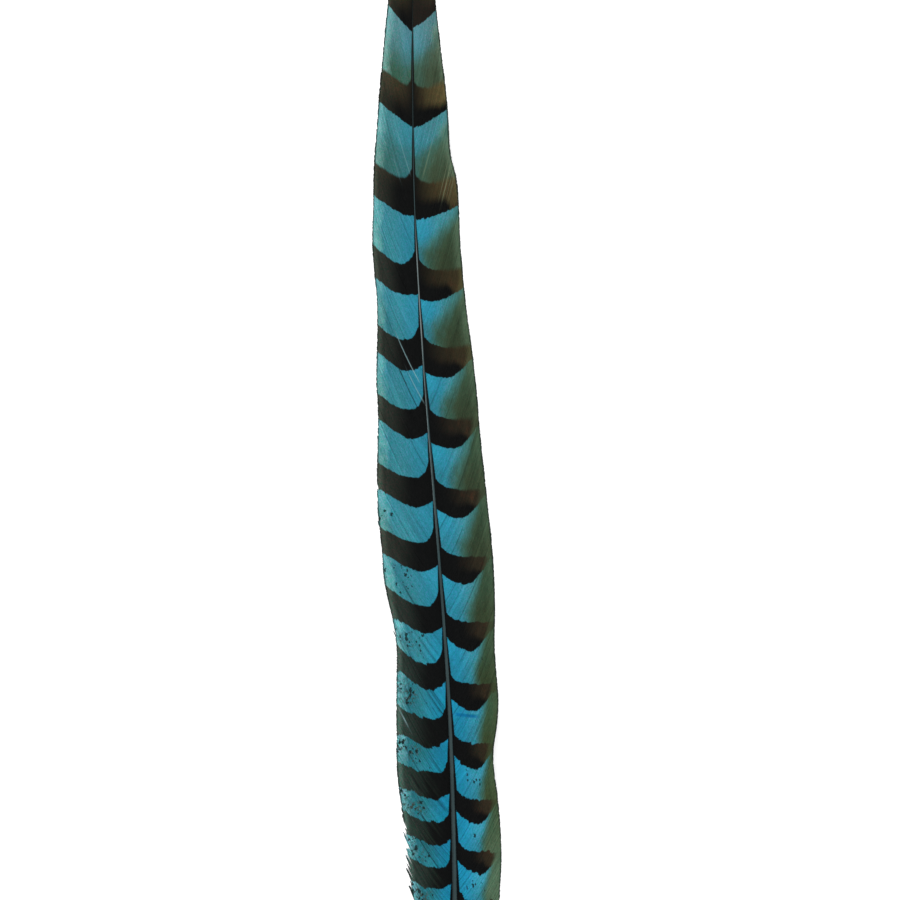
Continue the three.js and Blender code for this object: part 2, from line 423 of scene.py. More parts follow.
# All curves go by the place along the feather. Those of the bars go by a bar's lowest point.
left_web = SimpleNamespace(
    sign=-1,
    # How far the margin lies from the shaft's middle.
    half_width=curve_through(
        (42, 4.5), (50, 8.2), (62, 11.0), (75, 11.8), (90, 12.3), (110, 13.2), (140, 14.4),
        (166, 15.3), (184, 17.4), (194, 18.1), (202, 19.0), (211, 19.8), (220, 19.8), (238, 19.1),
        (256, 17.8), (265, 18.3), (274, 19.7), (283, 20.6), (292, 20.6), (310, 20.8), (328, 19.2),
        (344, 17.8), (353, 17.7), (364, 16.6), (382, 15.5), (400, 16.0), (418, 15.05), (430, 14.5),
        (454, 12.5), (490, 9.0), (520, 6.0), (538, 3.4), (547, 1.5), (550, 0.45),
    ),
    # Where the margin curls clear of the table: middle of the curl, half its length, its height.
    curls=((130, 52, 1.8), (256, 16, 1.6)),
    bar_slip=curve_through((77, 0), (521, 0)),
    margin_inset=0.5,
    bar_thickness=curve_through(
        (77, 4.2), (120, 6.0), (170, 7.8), (186, 8.4), (203, 9.6), (221, 10.6), (242, 9.4),
        (262, 10.2), (308, 10.8), (332, 10.8), (357, 11.4), (384, 11.3), (412, 13.7), (445, 15.1),
        (521, 15),
    ),
    # A bar's lower edge sags between the shaft and the margin: how far out its lowest point is,
    # how much higher it meets the shaft and the margin, and how late it climbs to the margin.
    sag_out=curve_through((170, 6.2), (300, 6.3), (357, 6.0), (384, 5.0), (412, 2.5), (445, 0.3)),
    shaft_end_rise=curve_through(
        (170, 2.4), (186, 2.0), (203, 2.0), (221, 4.1), (242, 3.0), (262, 2.7), (332, 2.4),
        (357, 2.0), (384, 0.1), (412, 0.0),
    ),
    margin_rise=curve_through(
        (170, 2.6), (186, 3.4), (203, 4.4), (221, 5.3), (242, 7.3), (262, 5.8), (284, 6.6),
        (308, 7.1), (332, 7.6), (357, 7.8), (384, 6.4), (412, 8.3), (445, 10.4), (480, 11.0),
    ),
    climb_power=curve_through((170, 1.7), (384, 1.6), (430, 1.15), (480, 1.1)),
    # A bar's upper edge: where it is lowest, how much higher it meets the margin, and the round
    # corner that it makes with the shaft.
    upper_sag_out=curve_through((170, 7.0), (357, 6.8), (384, 5.5), (412, 4.0), (445, 2.3)),
    upper_margin_rise=curve_through(
        (170, 3.2), (203, 3.9), (221, 5.9), (242, 8.6), (262, 5.3), (284, 5.9), (308, 6.6),
        (332, 7.0), (357, 7.9), (384, 7.0), (412, 6.8), (445, 8.4),
    ),
    corner_radius=curve_through((170, 4.6), (384, 5.0), (412, 3.8), (445, 2.4)),
    corner_height=curve_through(
        (170, 4.6), (242, 5.6), (284, 6.2), (332, 6.3), (384, 5.6), (412, 4.4), (445, 3.2)
    ),
    corner_shape=left_corner,
    olive_blend=None,
)


def under_side(web, place, out):
    """The height that a vane's under side has over the table, at a distance out from the shaft."""
    root = shaft_height(place) + 0.1 * shaft_half_depth(place)
    share = np.clip(out / web.half_width(place), 0, 1)
    droop = 1 - (share / FLAT_FROM) ** 1.7
    height = root * 0.5 * (droop + np.sqrt(droop**2 + 0.035))
    for middle, half_length, lift in web.curls:
        off = np.minimum(np.abs(place - middle) / half_length, 1)
        height = height + lift * (0.5 + 0.5 * np.cos(math.pi * off)) * share * share
    return height


PAST_THE_TIP = 575.0
FAR_OUTSIDE = -99.0


def bar_pattern(web, place, off):
    """Where a point lies in the bars' pattern. off is its distance from the shaft's side.

    Gives how far it is inside a bar, or less than 0 for outside, and how far down its cell it is,
    from 0 at the cell's tipward end to 1 at its quillward end. In a bar that share runs back from
    1 at the bar's upper edge to 0 at its lower.
    """
    lowest = (BAR_PLACES - web.bar_slip(BAR_PLACES))[:, None, None]
    width = web.half_width(lowest) - web.margin_inset
    low_at = web.sag_out(lowest)
    out_share = np.clip((off - low_at) / (width - low_at), 0, 1.3)
    in_share = np.clip((low_at - off) / low_at, 0, 1)
    early = EARLY_CLIMB * smooth_step(388, 352, lowest) * out_share**2 * (1 - out_share)
    climb = out_share ** web.climb_power(lowest) + early
    lower = lowest + web.margin_rise(lowest) * climb
    lower = lower + web.shaft_end_rise(lowest) * in_share**2
    upper_low_at = web.upper_sag_out(lowest)
    upper_share = np.clip((off - upper_low_at) / (width - upper_low_at), 0, 1.3)
    corner = np.clip(1 - off / web.corner_radius(lowest), 0, 1)
    rounded = web.corner_height(lowest) * web.corner_shape(corner, lowest)
    upper = lowest + web.bar_thickness(lowest) + rounded
    upper = upper + web.upper_margin_rise(lowest) * upper_share ** web.climb_power(lowest)
    upper = np.maximum(upper, lower + 0.02)
    inside = np.full(place.shape, FAR_OUTSIDE)
    drift = np.zeros(place.shape)
    last_lower = np.full(place.shape, PAST_THE_TIP)
    for k in range(len(BAR_PLACES)):
        in_bar = (place <= upper[k]) & (place > lower[k])
        in_cell = (place > upper[k]) & (place <= last_lower)
        inside = np.where(in_bar, np.minimum(place - lower[k], upper[k] - place), inside)
        drift = np.where(in_bar, (place - lower[k]) / (upper[k] - lower[k]), drift)
        inside = np.where(in_cell, -np.minimum(last_lower - place, place - upper[k]), inside)
        drift = np.where(in_cell, (last_lower - place) / (last_lower - upper[k]), drift)
        last_lower = lower[k]
    below = place <= last_lower
    inside = np.where(below, place - last_lower, inside)
    drift = np.where(below, np.clip((last_lower - place) / 6, 0, 1), drift)
    return inside, np.clip(drift, 0, 1)


def even_wander(count, length, seed):
    """A smooth random wander of about one in size, with swings over the given number of barbs."""
    chance = np.random.default_rng(seed)
    rough = chance.normal(size=count + 6 * int(length) + 1)
    reach = np.arange(-3 * int(length), 3 * int(length) + 1)
    weights = np.exp(-0.5 * (reach / length) ** 2)
    smooth = np.convolve(rough, weights / np.sqrt((weights**2).sum()), mode="same")
    return smooth[3 * int(length) : 3 * int(length) + count]


def strand_piece(name, corners, values, maps, layout):
    """A piece of many closed strands. corners holds each strand's rings of four corners in mm."""
    strands, rings, _, _ = corners.shape
    vertices = corners.reshape(-1, 3) / 1000
    vertices[:, 0] += SIDE_SHIFT / 1000
    vertices[:, 1] += FOOT_Y / 1000
    first = np.arange(strands)[:, None, None] * rings * 4
    ring = np.arange(rings - 1)[None, :, None] * 4
    side = np.arange(4)[None, None, :]
    a = first + ring + side
    b = first + ring + (side + 1) % 4
    walls = np.stack([a, b, b + 4, a + 4], axis=-1).reshape(-1, 4)
    start = first.reshape(-1, 1) + np.array([3, 2, 1, 0])[None]
    end = first.reshape(-1, 1) + (rings - 1) * 4 + np.array([0, 1, 2, 3])[None]
    faces = np.concatenate([walls, start, end])
    # The strands of a left vane run the other way round, so their faces are turned to point out.
    tangent = corners[:, 1].mean(axis=1) - corners[:, 0].mean(axis=1)
    across = corners[:, 0, 1] - corners[:, 0, 0]
    around = corners[:, 0, 2] - corners[:, 0, 1]
    turned = (np.cross(across, around) * tangent).sum(axis=1).mean() < 0
    if turned:
        faces = faces[:, ::-1]
    mesh = bpy.data.meshes.new(name)
    mesh.vertices.add(len(vertices))
    mesh.vertices.foreach_set("co", vertices.ravel())
    mesh.loops.add(faces.size)
    mesh.loops.foreach_set("vertex_index", faces.ravel().astype(np.int32))
    mesh.polygons.add(len(faces))
    mesh.polygons.foreach_set("loop_start", np.arange(0, faces.size, 4, dtype=np.int32))
    mesh.polygons.foreach_set("use_smooth", np.ones(len(faces), dtype=bool))
    mesh.update(calc_edges=True)
    for label, value in values.items():
        layer = mesh.attributes.new(label, "FLOAT", "POINT")
        spread = np.broadcast_to(value, (strands, rings, 4)).astype(np.float32)
        layer.data.foreach_set("value", spread.ravel())
    for label, places in maps.items():
        layer = mesh.uv_layers.new(name=label)
        layer.data.foreach_set("uv", places.reshape(-1, 2)[faces.ravel()].astype(np.float32).ravel())
    bake_map = mesh.uv_layers.new(name="OFBake")
    walls_uv, start_uv, end_uv = layout
    if turned:
        walls_uv, start_uv, end_uv = walls_uv[:, ::-1], start_uv[:, ::-1], end_uv[:, ::-1]
    corners_uv = np.concatenate([walls_uv, start_uv, end_uv]).astype(np.float32)
    bake_map.data.foreach_set("uv", corners_uv.ravel())
    piece = bpy.data.objects.new(name, mesh)
    bpy.context.scene.collection.objects.link(piece)
    return piece


def bake_layout(strands, rings, lengths):
    """A flat place for every face: four columns of thin rows, two for the top and two for below."""
    rows = (strands + 1) // 2
    row = np.arange(strands) % rows
    column = np.arange(strands) // rows
    tall = 1.0 / rows
    v = row * tall
    u = (column * 0.25 + 0.002)[:, None] + 0.244 * lengths
    walls = np.zeros((strands, rings - 1, 4, 4, 2))
    sides = ((0.04, 0.5, 0), (0.5, 0.96, 0), (0.96, 0.5, 0.5), (0.5, 0.04, 0.5))
    for side, (first, second, half) in enumerate(sides):
        near, far = u[:, :-1] + half, u[:, 1:] + half
        places = ((near, first), (near, second), (far, second), (far, first))
        for corner, (edge, up) in enumerate(places):
            walls[:, :, side, corner, 0] = edge
            walls[:, :, side, corner, 1] = (v + up * tall)[:, None]
    ends = []
    for edge, step in ((u[:, 0], -0.0018), (u[:, -1], 0.0018)):
        kite = ((edge, 0.1), (edge + step, 0.5), (edge, 0.9), (edge + 0.1 * step, 0.5))
        ends.append(np.stack([np.stack([at, v + up * tall], -1) for at, up in kite], axis=1))
    return walls.reshape(-1, 4, 2), ends[0][:, ::-1], ends[1]


def grow_vane(web, name, seed, splits, lines, fray):
    """One vane's barbs as a single piece.

    web: the vane's sizes and the curves of its bars.
    splits: (root place, where it starts, how wide it opens, how far it lifts) of unhooked barbs.
    lines: (root place, from, to, strength) of single barbs painted pale, partly their own pale side and
    partly a painted highlight, or painted with shade along a split below 0.
    fray: function of the end's place that says how ragged the margin is there.
    """
    count = int((LAST_BARB - FIRST_BARB) / BARB_SPACING)
    chance = np.random.default_rng(seed)
    even_roots = np.linspace(FIRST_BARB, LAST_BARB, count)
    roots = even_roots + chance.normal(0, 0.04, count)
    climbs = barb_climb(roots) * (1 + 0.004 * even_wander(count, 9, seed + 1))
    ends = roots + climbs
    ragged = fray(ends)
    # Where the margin is frayed, the barbs' ends draw together in tufts.
    tuft_starts = np.cumsum(chance.integers(3, 10, count))
    tuft = np.searchsorted(tuft_starts, np.arange(count), side="right")
    tuft_middle = np.array([roots[tuft == t].mean() for t in tuft])
    from_middle = np.abs(roots - tuft_middle)
    tuft_reach = np.array([from_middle[tuft == t].max() + 0.2 for t in tuft])
    in_tuft = (roots - tuft_middle) / tuft_reach
    tuft_chance = chance.normal(0, 1, (tuft.max() + 1, 3))[tuft]

    full_reach = web.half_width(ends) * (1 + 0.003 * even_wander(count, 4, seed + 2))
    reaches = full_reach - np.abs(chance.normal(0, 1, count)) * (0.06 + 0.4 * ragged)
    reaches = reaches + ragged * (0.55 + 0.6 * tuft_chance[:, 0] - 1.2 * in_tuft**2)
    start = (shaft_half_width(roots) * ROOT_SHARE)[:, None]
    span = np.maximum(full_reach[:, None] - start, 0.2)
    step = BARB_STEPS[None, :]
    u = step * np.clip((reaches[:, None] - start) / span, 0.6, 1 + 0.1 * ragged[:, None])
    out = start + span * u
    place = roots[:, None] + climbs[:, None] * ((1 - BARB_BEND) * u + BARB_BEND * u * u)
    even_climb = barb_climb(even_roots)[:, None]
    even_reach = web.half_width(even_roots[:, None] + even_climb) * step
    across_step = np.gradient(even_reach, axis=0)
    even_place = even_roots[:, None] + even_climb * ((1 - BARB_BEND) * step + BARB_BEND * step**2)
    along_step = np.gradient(even_place, axis=0)

    # Where the vane is whole the barbs lie even. Disturbances come on top.
    shown_out, shown_place = out.copy(), place.copy()
    loose = 0.03 * even_wander(count, 3, seed + 4) + 0.12 * even_wander(count, 14, seed + 5)
    shown_place = shown_place + loose[:, None] * u * u
    lift = chance.normal(0, 0.02, count) + 0.04 * even_wander(count, 6, seed + 6)
    lift = lift[:, None] * u
    for root, begins, opens, lifts in splits:
        away = roots[:, None] - root
        near = np.exp(-np.abs(away) / 3.2)
        grown = np.clip((u - begins) / (1 - begins), 0, 1)
        shown_place = shown_place + 1.5 * np.where(away > 0, 1, -1) * opens * near * grown**1.1
        lift = lift + lifts * np.where(away > 0, 1, 0) * near * grown
    stray = ragged[:, None] * step**20
    shown_place = shown_place - stray * (0.45 * in_tuft * tuft_reach)[:, None]
    shown_place = shown_place + stray * (0.2 * tuft_chance[:, 1] + chance.normal(0, 0.1, count))[:, None]
    shown_out = shown_out + stray * chance.normal(0, 0.1, count)[:, None]
    # The last barbs close over the end of the shaft.
    shown_out = shown_out * (1 - 0.9 * smooth_step(536.0, LAST_BARB, roots))[:, None]
    lift = lift + stray * np.abs(0.4 * tuft_chance[:, 2])[:, None]

    tangent_out = np.gradient(shown_out, axis=1)
    tangent_place = np.gradient(shown_place, axis=1)
    length = np.hypot(tangent_out, tangent_place)
    tangent_out, tangent_place = tangent_out / length, tangent_place / length
    spacing = np.abs(across_step * tangent_place - along_step * tangent_out)
    pointed = 1 - 0.6 * smooth_step(0.975, 1.0, step)
    half = (1.2 - 0.2 * ragged[:, None]) * np.clip(spacing, 0.13, 0.5) * pointed

    # Each ring has a quillward edge, a ridge, a tipward edge laid over the next barb, and a keel.
    deep = 1 - 0.62 * u
    side_steps = np.stack([-half, 0 * half, half, 0 * half], axis=-1)
    up_steps = np.stack([-0.05 + 0 * u, 0.08 * deep, 0.05 + 0 * u, -0.13 * deep], axis=-1)
    ring_out = shown_out[..., None] - side_steps * tangent_place[..., None]
    ring_place = shown_place[..., None] + side_steps * tangent_out[..., None]
    inmost = np.where(ring_place < LAST_BARB - 1, shaft_half_width(ring_place) * 0.5, -0.1)
    ring_out = np.maximum(ring_out, inmost)
    height = under_side(web, ring_place, ring_out) + 0.22 + lift[..., None] + up_steps
    height = np.maximum(height, 0.02)
    sideways = shaft_sideways(ring_place) + web.sign * ring_out
    corners = np.stack([sideways, ring_place, height], axis=-1)

    off = out - shaft_half_width(place)
    uneven = (chance.normal(0, 0.06, count) + 0.15 * even_wander(count, 1.5, seed + 7))[:, None]
    uneven = uneven * (0.8 + 1.0 * smooth_step(260, 200, roots))[:, None]
    inside, drift = bar_pattern(web, place + uneven, off)
    share = out / web.half_width(place)
    # Each barb's random tone, to which painted shade is added below for gaps, split lines and tufts.
    tone = 0.05 * chance.normal(0, 1, count) + 0.04 * even_wander(count, 7, seed + 9)
    tone = tone + 0.05 * even_wander(count, 1.5, seed + 10)
    # Painted shade in thin gaps between barbs, rare in the upper feather and common in the lower.
    shaded_gaps = chance.random(count) < 0.03 + 0.09 * smooth_step(270, 200, roots)
    tone = tone - 0.3 * shaded_gaps
    tone = np.broadcast_to(tone[:, None], place.shape)
    glint = np.zeros(place.shape)
    # Each line paints one barb pale, partly its own pale side and partly a painted highlight, or paints
    # shade along it where its strength is below 0.
    for root, begins, finishes, strength in lines:
        near = np.exp(-(((roots - root) / 0.42) ** 2))[:, None]
        run = smooth_step(begins - 0.04, begins + 0.04, u)
        run = run * (1 - smooth_step(finishes - 0.06, finishes + 0.02, u))
        tone = tone + min(strength, 0) * near * run
        glint = glint + max(strength, 0) * near * run
    # The tufts of a frayed margin lie over one another, each with painted shade on its lower side.
    shaded_tuft_side = smooth_step(0.2, -0.9, in_tuft)[:, None]
    tone = tone - 0.22 * ragged[:, None] * smooth_step(0.25, 0.8, u) * shaded_tuft_side
    values = {
        "bar": inside[..., None],
        "drift": drift[..., None],
        "share": share[..., None],
        "off": off[..., None],
        "place": place[..., None] / FEATHER_LENGTH,
        "tone": tone[..., None],
        "glint": glint[..., None],
    }
    if web.olive_blend:
        low = smooth_step(-0.25, 0.75, drift)
        border = web.olive_from_top(place) * (1 - low) + web.olive_from_bottom(place) * low
        values["olive"] = ((off - border) / web.olive_blend(place))[..., None]
    stretch = np.cumsum(np.c_[np.zeros(count), np.hypot(np.diff(out), np.diff(place))], axis=1)
    lengths = stretch / max(50.0, stretch.max())
    barb_uv = np.broadcast_to(
        np.stack([out, place], axis=-1)[:, :, None] / 100, (count, len(BARB_STEPS), 4, 2)
    )
    strand_uv = np.stack(np.broadcast_arrays(roots[:, None], stretch), axis=-1)
    strand_uv = np.broadcast_to(strand_uv[:, :, None] / 100, (count, len(BARB_STEPS), 4, 2))
    layout = bake_layout(count, len(BARB_STEPS), lengths)
    return strand_piece(name, corners, values, {"Barb": barb_uv, "Strand": strand_uv}, layout)


BLACK = dyed(19, 20, 20)


class BarbSilk(Finish):
    """The silky finish of one vane: what it reads from the barbs, and what both vanes share."""

    def __init__(self, name):
        super().__init__(name)
        self.drift = self.read("drift")
        self.share = self.read("share")
        self.place = self.read("place")
        self.spot = self.map_place("Barb")
        strand = self.map_place("Strand")
        self.clouds = self.noise(self.spot, 30, 3.0, 0.6, (1.6, 0.7, 1))
        self.patches = self.noise(self.spot, 16, 2.0, 0.6)
        self.lines = self.noise(strand, 110, 2.0, 0.65, (1, 0.05, 1))
        self.fine = self.noise(strand, 300, 2.0, 0.7, (1, 0.25, 1))
        self.hue = self.sum("SUBTRACT", self.noise(strand, 260, 2.0, 0.6, (1, 0.6, 1)), 0.5)
        self.down_cell = self.fade(self.sum("MULTIPLY_ADD", self.clouds, 0.5, self.drift), 0.4, 1.2)
        self.to_low = self.fade(self.place, 0.54, 0.40)
        self.to_upper = self.fade(self.place, 0.60, 0.70)
        self.to_top = self.fade(self.place, 0.72, 0.82)
        # How soft a bar's edge is: softer at the upper edges of the bars near the tip.
        soft_top = self.times(self.fade(self.place, 0.70, 0.80), self.fade(self.drift, 0.4, 0.7))
        self.blur = self.sum("MULTIPLY_ADD", soft_top, 0.5, 0.2)

    def along(self, low, middle, top):
        """A dye with its own colour in the lower, the middle and the upper feather."""
        lower_half = self.mix(self.to_low, dyed(*middle), dyed(*low))
        return self.mix(self.to_top, lower_half, dyed(*top))

    def cover_vane(self, piece, cell, freckle, bars, blur, hue, glint_colour):
        """Joins the cells and the bars, adds what the barbs have in common, and covers the vane."""
        place = self.place
        cell = self.mix(self.fade(place, 0.84, 0.88, 0.0, 0.12), cell, dyed(165, 140, 125))
        cell = self.mix(self.times(freckle, 0.9), cell, dyed(26, 38, 38))

        # A bar's ragged edges, and the thin dark line along the shaft that widens down each cell.
        edge = self.swing(self.noise(self.spot, 170, 2.0, 0.6), 0.6, self.read("bar"))
        in_bar = self.fade(self.sum("DIVIDE", edge, blur), -1.0, 1.0)
        line = self.sum("MULTIPLY_ADD", self.drift, 0.55, 0.12)
        line = self.times(line, self.fade(place, 0.62, 0.80, 1.0, 0.6))
        line = self.sum("ADD", line, self.fade(place, 0.46, 0.34, 0.0, 0.22))
        by_shaft = self.fade(self.sum("SUBTRACT", line, self.read("off")), -0.13, 0.13)
        colour = self.mix(self.sum("MAXIMUM", in_bar, by_shaft), cell, bars)
        margin = self.sum("MULTIPLY_ADD", self.to_top, 0.02, self.share)
        colour = self.mix(self.fade(margin, 0.966, 0.988, 0.0, 0.82), colour, dyed(34, 42, 38))

        # The barbules glint bluer or greener from speck to speck, and each barb is a little lighter
        # or darker than the next, with painted shade in gaps, along splits and under tufts. Where barbs
        # have parted, one is painted pale, partly its own pale side and partly a painted highlight.
        shade = self.swing(self.lines, 0.45, self.swing(self.fine, 0.85, 1.0))
        shade = self.sum("MAXIMUM", self.sum("ADD", shade, self.read("tone")), 0.15)
        red = self.sum("MAXIMUM", self.sum("MULTIPLY_ADD", hue, -4.2, 1.0), 0.1)
        blue = self.sum("MULTIPLY_ADD", hue, -1.0, 1.0)
        change = {0: self.times(shade, red), 1: shade, 2: self.times(shade, blue)}
        colour = self.mix(1.0, colour, self.add("CombineColor", change)[0], "MULTIPLY")
        colour = self.mix(self.read("glint"), colour, glint_colour)
        # The lowest barbs take on the look of the down that they merge into.
        colour = self.mix(self.fade(place, 0.20, 0.15, 0.0, 0.55), colour, dyed(70, 122, 134))
        # The under side is the same, but duller and greyer.
        dull = self.mix(0.62, colour, dyed(70, 84, 84))
        colour = self.mix(self.fade(self.normal()[2], 0.05, -0.35), colour, dull)
        self.relief(self.fine, 0.2)
        self.cover(piece, colour, self.fade(self.fine, 0.3, 0.7, 0.45, 0.65), 0.06)


left_splits = (
    (345.5, 0.3, 0.03, 0.2),
    (337.0, 0.3, -0.06, 0.2),
    (301.0, 0.5, -0.1, 0.3),
    (281.0, 0.45, -0.06, 0.2),
    (258.0, 0.4, -0.06, 0.2),
    (231.0, 0.1, -0.05, 0.2),
    (205.3, 0.7, 0.04, 0.2),
    (191.0, 0.4, -0.06, 0.3),
    (168.0, 0.7, 0.03, 0.2),
    (148.0, 0.75, 0.05, 0.3),
    (127.0, 0.7, 0.05, 0.3),
)
# Positive strengths paint a barb pale, partly its own pale side and partly a painted highlight. Negative
# ones paint shade along a split.
left_lines = (
    (424.5, 0.10, 0.50, 0.22), (411.5, 0.40, 0.62, 0.18), (346.4, 0.66, 0.93, -0.63),
    (349.2, 0.12, 0.57, 0.55), (343.9, 0.05, 0.38, 0.4), (337.2, 0.18, 0.63, -0.63),
    (304.8, 0.90, 0.99, -0.7), (300.8, 0.56, 0.92, -0.63), (318.8, 0.10, 0.45, -0.49),
    (281.0, 0.44, 0.77, -0.49), (273.0, 0.3, 0.6, -0.35), (258.0, 0.40, 0.67, -0.49),
    (248.0, 0.12, 0.44, -0.56), (251.5, 0.1, 0.35, -0.42), (233.2, 0.87, 0.93, 0.6),
    (230.5, 0.06, 0.42, -0.56), (227.2, 0.05, 0.36, -0.49), (234.0, 0.1, 0.4, -0.42),
    (205.3, 0.80, 0.94, 0.8), (191.4, 0.55, 0.74, -0.7), (208.0, 0.1, 0.4, -0.42),
    (196.0, 0.1, 0.5, -0.49), (183.0, 0.2, 0.6, -0.56), (172.0, 0.15, 0.7, -0.49),
)


def left_fray(end_place):
    """How ragged the left margin is: frayed at the foot, with three small notches higher up."""
    notches = 0
    for notch in (314.3, 301.0, 262.0):
        notches = notches + 0.5 * np.exp(-(((end_place - notch) / 1.3) ** 2))
    lower = 0.95 * smooth_step(202, 186, end_place) - 0.5 * smooth_step(160, 135, end_place)
    return lower + 0.06 + notches


left_vane = grow_vane(left_web, "left_barbs", 11, left_splits, left_lines, left_fray)

# The cells are turquoise, bluest by the shaft, pale towards the margin, and greener at the foot of
# each cell in the upper feather.
silk = BarbSilk("inner_barb_silk")
drift, share, place = silk.drift, silk.share, silk.place
outwards = silk.fade(share, 0.15, 0.6)
head = silk.mix(
    outwards,
    silk.along((30, 126, 158), (46, 129, 151), (56, 127, 141)),
    silk.along((42, 115, 126), (60, 137, 153), (70, 136, 144)),
)
foot = silk.mix(
    outwards,
    silk.along((27, 131, 160), (46, 127, 148), (59, 92, 79)),
    silk.along((46, 126, 140), (59, 131, 143), (58, 93, 77)),
)
paling = silk.fade(place, 0.62, 0.85, 0.74, 0.64)
paling = silk.fade(silk.swing(silk.clouds, 0.3, share), paling, 0.97)
head = silk.mix(paling, head, silk.along((126, 206, 214), (106, 178, 184), (120, 190, 193)))
foot = silk.mix(paling, foot, silk.along((112, 184, 188), (110, 176, 173), (122, 172, 162)))
cell = silk.mix(silk.down_cell, head, foot)

# The bars are black, brown near the tip, and painted lighter towards the margin as a sheen, with green
# barbs below.
brown = silk.times(silk.fade(place, 0.765, 0.80), silk.fade(drift, 0.15, 0.95))
brown = silk.times(brown, silk.fade(share, -0.2, 0.6))
bars = silk.mix(brown, BLACK, dyed(60, 54, 39))
# A painted sheen lightens the bars towards the margin, most along the very edge.
lighter = silk.fade(share, 0.35, 1.0, 0.0, silk.fade(place, 0.47, 0.53, 0.22, 0.4))
lighter = silk.sum("ADD", lighter, silk.fade(share, 0.86, 0.96, 0.0, 0.5))
bars = silk.mix(lighter, bars, silk.along((104, 132, 120), (80, 87, 77), (78, 78, 64)))
greenish = silk.times(silk.fade(silk.lines, 0.45, 0.7, 0.0, 0.4), silk.fade(share, 0.15, 0.6))
greenish = silk.times(greenish, silk.fade(place, 0.46, 0.34))
bars = silk.mix(greenish, bars, dyed(54, 72, 59))

# Freckles: small dark specks in the lower cells, over dull blotches in the vane's outer half.
ends = silk.times(silk.fade(drift, 0.0, 0.15), silk.fade(drift, 1.0, 0.6))
zone = silk.times(silk.fade(place, 0.60, 0.46), silk.fade(share, 0.3, 0.7), ends)
zone = silk.times(zone, silk.fade(silk.patches, 0.4, 0.58, 0.15, 1.0))
blotch = silk.fade(silk.noise(silk.spot, 74, 2.0, 0.6, (1.25, 0.9, 1)), 0.47, 0.57)
blotch = silk.times(blotch, zone, silk.fade(place, 0.49, 0.44, 0.1, 1.0), silk.fade(share, 0.4, 0.65))
cell = silk.mix(blotch, cell, dyed(62, 78, 70))
freckle = silk.dots(silk.spot, 76, (1.15, 0.85, 1), silk.times(zone, 0.5), 0.5)
silk.cover_vane(left_vane, cell, freckle, bars, silk.blur, silk.hue, dyed(150, 186, 190))
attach(left_vane, "root")
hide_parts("left_vane")

# ------------------------------------------------------------------ the right vane
# The outer, firmer web, on the side away from the tail's middle. It is built as the left one is, and
# its chestnut margin has taken the turquoise dye as olive.


def right_corner(corner, lowest):
    """How a bar's upper edge rounds up to the shaft, the same in the whole right vane."""
    return 0.35 * corner**1.2 + 0.65 * corner**5


right_web = SimpleNamespace(
    sign=1,
    half_width=curve_through(
        (42, 4.5), (50, 8.0), (62, 10.8), (75, 11.8), (90, 12.5), (110, 13.7), (140, 15.2),
        (166, 16.3), (184, 17.2), (202, 16.4), (211, 15.4), (220, 15.3), (229, 17.0), (238, 17.9),
        (256, 17.7), (274, 19.1), (292, 19.5), (310, 19.15), (328, 18.6), (346, 18.5), (364, 17.9),
        (382, 16.65), (400, 16.0), (418, 16.0), (427, 15.3), (436, 13.4), (454, 12.5), (490, 8.25),
        (520, 5.6), (538, 3.2), (547, 1.4), (550, 0.45),
    ),
    curls=((110, 48, 1.4), (220, 20, 2.4), (435, 13, 0.9)),
    # These bars sit lower than the left vane's, the more so towards the quill.
    bar_slip=curve_through(
        (77, 14), (170, 11.4), (186, 10.6), (202, 9.0), (221, 7.85), (242, 7.9), (262, 6.2),
        (284, 4.6), (307, 3.85), (332, 3.5), (356, 2.35), (384, 2.4), (412, 1.4), (444, 0.5),
        (479, -1.5),
    ),
    margin_inset=0.85,
    bar_thickness=curve_through(
        (64, 4.2), (110, 5.6), (158, 7.0), (175, 7.9), (193, 8.6), (213, 9.4), (234, 9.7),
        (256, 10.4), (280, 10.0), (304, 10.3), (328, 10.6), (354, 11.0), (381, 11.4), (411, 13.5),
        (444, 14.5), (521, 14),
    ),
    sag_out=curve_through((170, 8.3), (357, 7.8), (384, 3.2), (412, 0.3)),
    shaft_end_rise=curve_through(
        (158, 5.4), (175, 6.0), (193, 5.4), (213, 5.6), (234, 4.9), (256, 5.0), (280, 4.0),
        (304, 3.3), (329, 2.1), (354, 1.7), (382, 1.0), (411, 0.4), (445, 0.0),
    ),
    margin_rise=curve_through(
        (158, 7.0), (175, 6.3), (193, 8.4), (213, 7.4), (234, 8.1), (256, 7.8), (280, 9.6),
        (304, 8.9), (329, 8.5), (354, 7.3), (382, 5.6), (411, 5.4), (445, 7.6), (480, 6.9),
    ),
    climb_power=curve_through((170, 1.9), (357, 1.9), (412, 1.5), (445, 1.3)),
    upper_sag_out=curve_through((170, 9.0), (412, 5.0), (445, 4.5)),
    upper_margin_rise=curve_through((170, 0.0), (304, 0.0), (354, 1.2), (384, 1.4), (412, 3.0), (480, 5.0)),
    corner_radius=curve_through((170, 8.5), (357, 8.0), (412, 4.8), (445, 4.2)),
    corner_height=curve_through(
        (158, 6.0), (175, 6.4), (193, 5.8), (213, 4.8), (234, 4.8), (256, 5.0), (300, 5.1),
        (384, 5.0), (412, 3.8), (445, 3.2),
    ),
    corner_shape=right_corner,
    # How far out the turquoise gives way to olive, at a cell's tipward end and at its quillward end,
    # and over what width the two blend.
    olive_from_top=curve_through((215, 12.4), (240, 12.9), (310, 14.2), (385, 15.3), (450, 27)),
    olive_from_bottom=curve_through((215, 9.5), (240, 9.4), (310, 8.0), (385, 3.4), (450, 1.2)),
    olive_blend=curve_through((240, 1.5), (310, 3.2), (385, 4.2), (450, 4.5)),
)
right_splits = (
    (389.0, 0.6, 0.05, 0.3),
    (284.0, 0.3, -0.04, 0.15),
    (190.0, 0.6, 0.04, 0.2),
    (140.0, 0.5, 0.1, 0.2),
)
